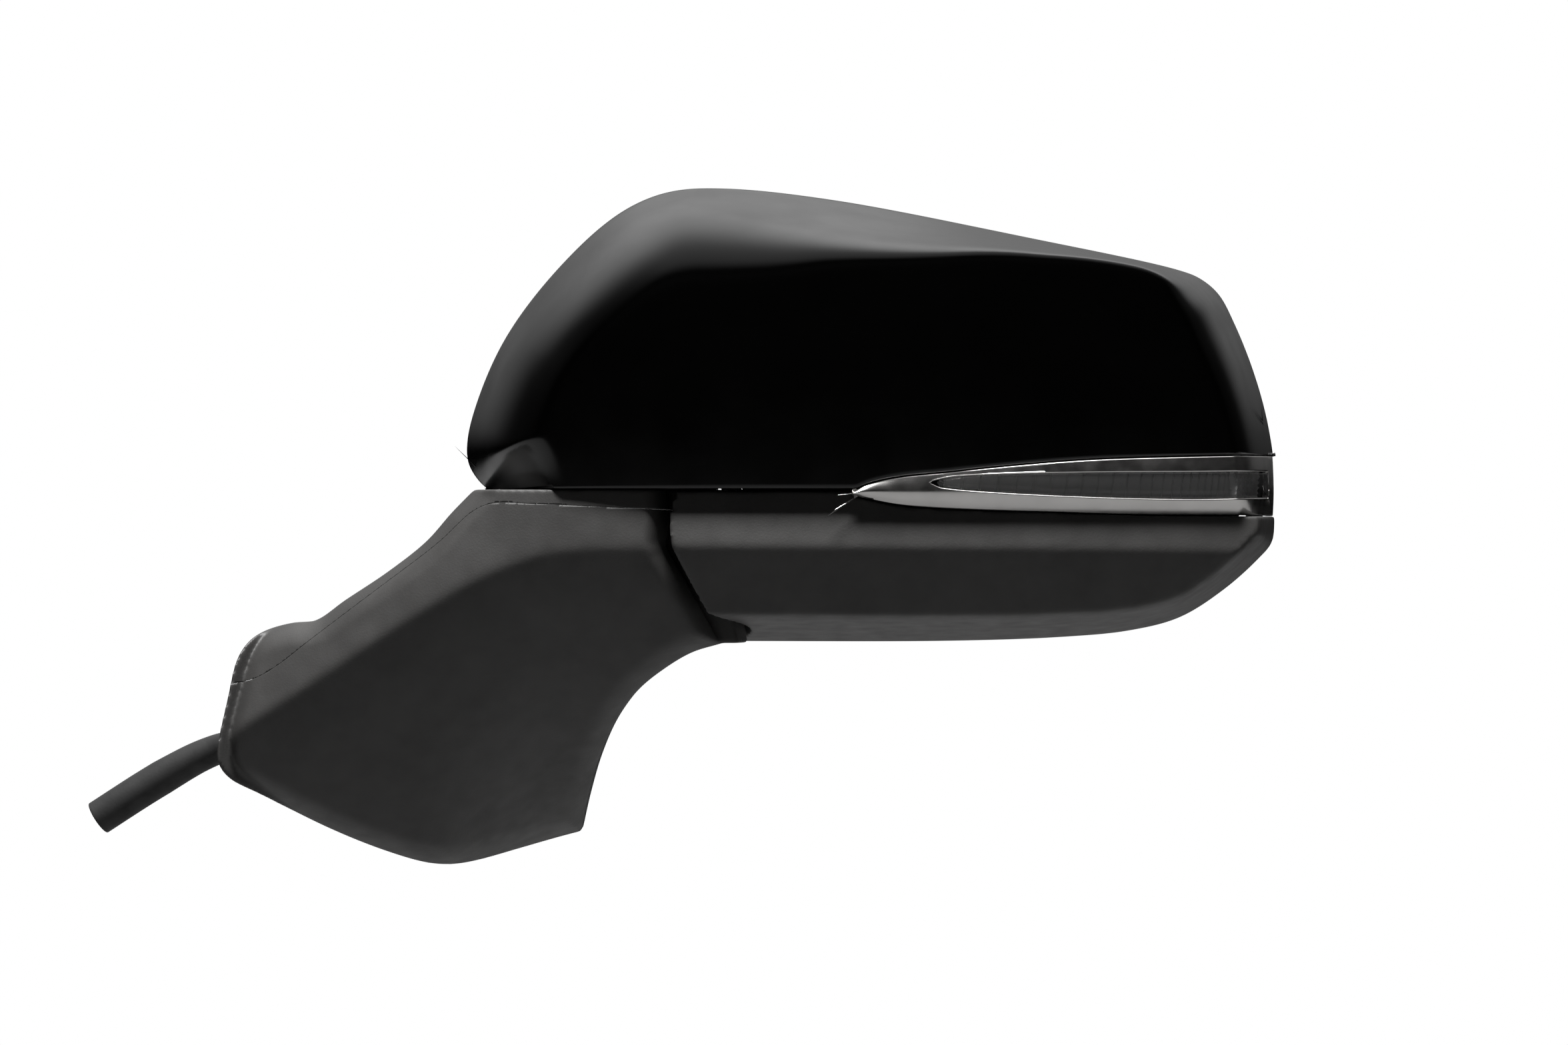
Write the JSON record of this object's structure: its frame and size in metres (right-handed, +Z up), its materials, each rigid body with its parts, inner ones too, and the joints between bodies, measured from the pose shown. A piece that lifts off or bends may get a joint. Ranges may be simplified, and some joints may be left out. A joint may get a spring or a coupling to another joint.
{
  "type": "car side mirror",
  "caption": "Power-folding door mirror for a car: a glossy cap and turn lamp over a tilting heated glass, on a foot that bolts to the door.",
  "frame": {"origin": "on the bracket's flat face that bolts to the door, near the middle of it", "axes": "+X outboard along the head, away from the car; +Y rearwards, the way the glass looks; +Z up"},
  "size_m": [0.3773, 0.146, 0.2163],
  "materials": {
    "gloss_black": "gloss black lacquer",
    "grained_black": "fine-grained moulded black",
    "inner_black": "plain moulded black",
    "satin_chrome": "satin",
    "smoked_clear": "smoked clear plastic",
    "silvered": "silvered, slightly convex",
    "steel": "zinc plated",
    "die_cast": "as cast",
    "natural": "natural acetal",
    "brass": "turned",
    "rubber": "matt black",
    "foam": "closed-cell foam",
    "board": "green circuit board",
    "heater_film": "printed heating film",
    "plug_grey": "moulded grey"
  },
  "bodies": {
    "foot": {"foot_cover": "grained_black", "foot_top_cover": "grained_black", "base_bracket": "die_cast", "door_gasket": "foam", "stud_front": "steel", "stud_rear": "steel", "stud_lower": "steel", "harness_grommet": "rubber", "harness_cord": "rubber", "harness_sleeve": "rubber", "harness_coil": "rubber", "harness_plug": "plug_grey", "fold_shaft": "steel", "fold_detent_ring": "steel", "fold_clutch_gear": "steel", "fold_clutch_spring": "steel", "fold_spring_retainer": "steel"},
    "head": {"cap_cover": "gloss_black", "lower_housing": "grained_black", "lamp_trim": "satin_chrome", "lamp_lens": "smoked_clear", "lamp_light_guide": "smoked_clear", "lamp_led_board": "board", "lamp_housing": "inner_black", "glass_bezel": "grained_black", "underside_plate": "inner_black", "head_frame": "inner_black", "fold_gear_case": "inner_black", "fold_case_lid": "inner_black", "fold_motor": "steel", "actuator_case": "inner_black", "actuator_lid": "natural", "tilt_motor_vertical": "steel", "tilt_motor_horizontal": "steel"},
    "fold_drive": {"fold_worm": "brass"},
    "gimbal": {"gimbal_ring": "natural"},
    "glass": {"glass_backing_plate": "inner_black", "glass_heater_pad": "heater_film", "mirror_glass": "silvered"},
    "vertical_jack": {"jack_vertical": "natural"},
    "horizontal_jack": {"jack_horizontal": "natural"},
    "vertical_gear": {"jack_gear_vertical": "natural"},
    "horizontal_gear": {"jack_gear_horizontal": "natural"},
    "vertical_worm": {"tilt_worm_vertical": "brass"},
    "horizontal_worm": {"tilt_worm_horizontal": "brass"}
  },
  "joints": [
    {"name": "fold", "type": "hinge", "parent": "foot", "child": "head", "pos_m": [0.05767, -0.04033, 0.08], "axis": [0, 0, 1], "range_deg": [-40, 50]},
    {"name": "fold_worm_spin", "type": "hinge", "parent": "head", "child": "fold_drive", "pos_m": [0.07657, -0.04033, 0.09], "axis": [0, 1, 0], "range_deg": [-963.84, 1204.8]},
    {"name": "tilt_vertical", "type": "hinge", "parent": "head", "child": "gimbal", "pos_m": [0.16267, -0.02633, 0.102], "axis": [1, 0, 0], "range_deg": [-7, 7]},
    {"name": "tilt_horizontal", "type": "hinge", "parent": "gimbal", "child": "glass", "pos_m": [0.16267, -0.02633, 0.102], "axis": [0, 0, 1], "range_deg": [-7, 7]},
    {"name": "jack_vertical_slide", "type": "slide", "parent": "head", "child": "vertical_jack", "axis": [0, 1, 0], "range_m": [-0.00368, 0.00368]},
    {"name": "jack_horizontal_slide", "type": "slide", "parent": "head", "child": "horizontal_jack", "axis": [0, 1, 0], "range_m": [-0.00368, 0.00368]},
    {"name": "jack_gear_vertical_spin", "type": "hinge", "parent": "head", "child": "vertical_gear", "pos_m": [0.16267, -0.05133, 0.132], "axis": [0, 1, 0], "range_deg": [-165.59, 165.59]},
    {"name": "jack_gear_horizontal_spin", "type": "hinge", "parent": "head", "child": "horizontal_gear", "pos_m": [0.19267, -0.05133, 0.102], "axis": [0, 1, 0], "range_deg": [-165.59, 165.59]},
    {"name": "tilt_worm_vertical_spin", "type": "hinge", "parent": "head", "child": "vertical_worm", "pos_m": [0.16267, -0.05133, 0.1165], "axis": [1, 0, 0], "range_deg": [-1655.93, 1655.93]},
    {"name": "tilt_worm_horizontal_spin", "type": "hinge", "parent": "head", "child": "horizontal_worm", "pos_m": [0.17717, -0.05133, 0.102], "axis": [0, 0, 1], "range_deg": [-1655.93, 1655.93]}
  ],
  "couplings": [
    {"joint": "fold_worm_spin", "follows": "fold", "ratio": 24},
    {"joint": "jack_vertical_slide", "follows": "tilt_vertical", "m_per_rad": -0.03},
    {"joint": "jack_gear_vertical_spin", "follows": "tilt_vertical", "ratio": -23.562},
    {"joint": "tilt_worm_vertical_spin", "follows": "tilt_vertical", "ratio": 235.62},
    {"joint": "jack_horizontal_slide", "follows": "tilt_horizontal", "m_per_rad": 0.03},
    {"joint": "jack_gear_horizontal_spin", "follows": "tilt_horizontal", "ratio": 23.562},
    {"joint": "tilt_worm_horizontal_spin", "follows": "tilt_horizontal", "ratio": -235.62}
  ]
}
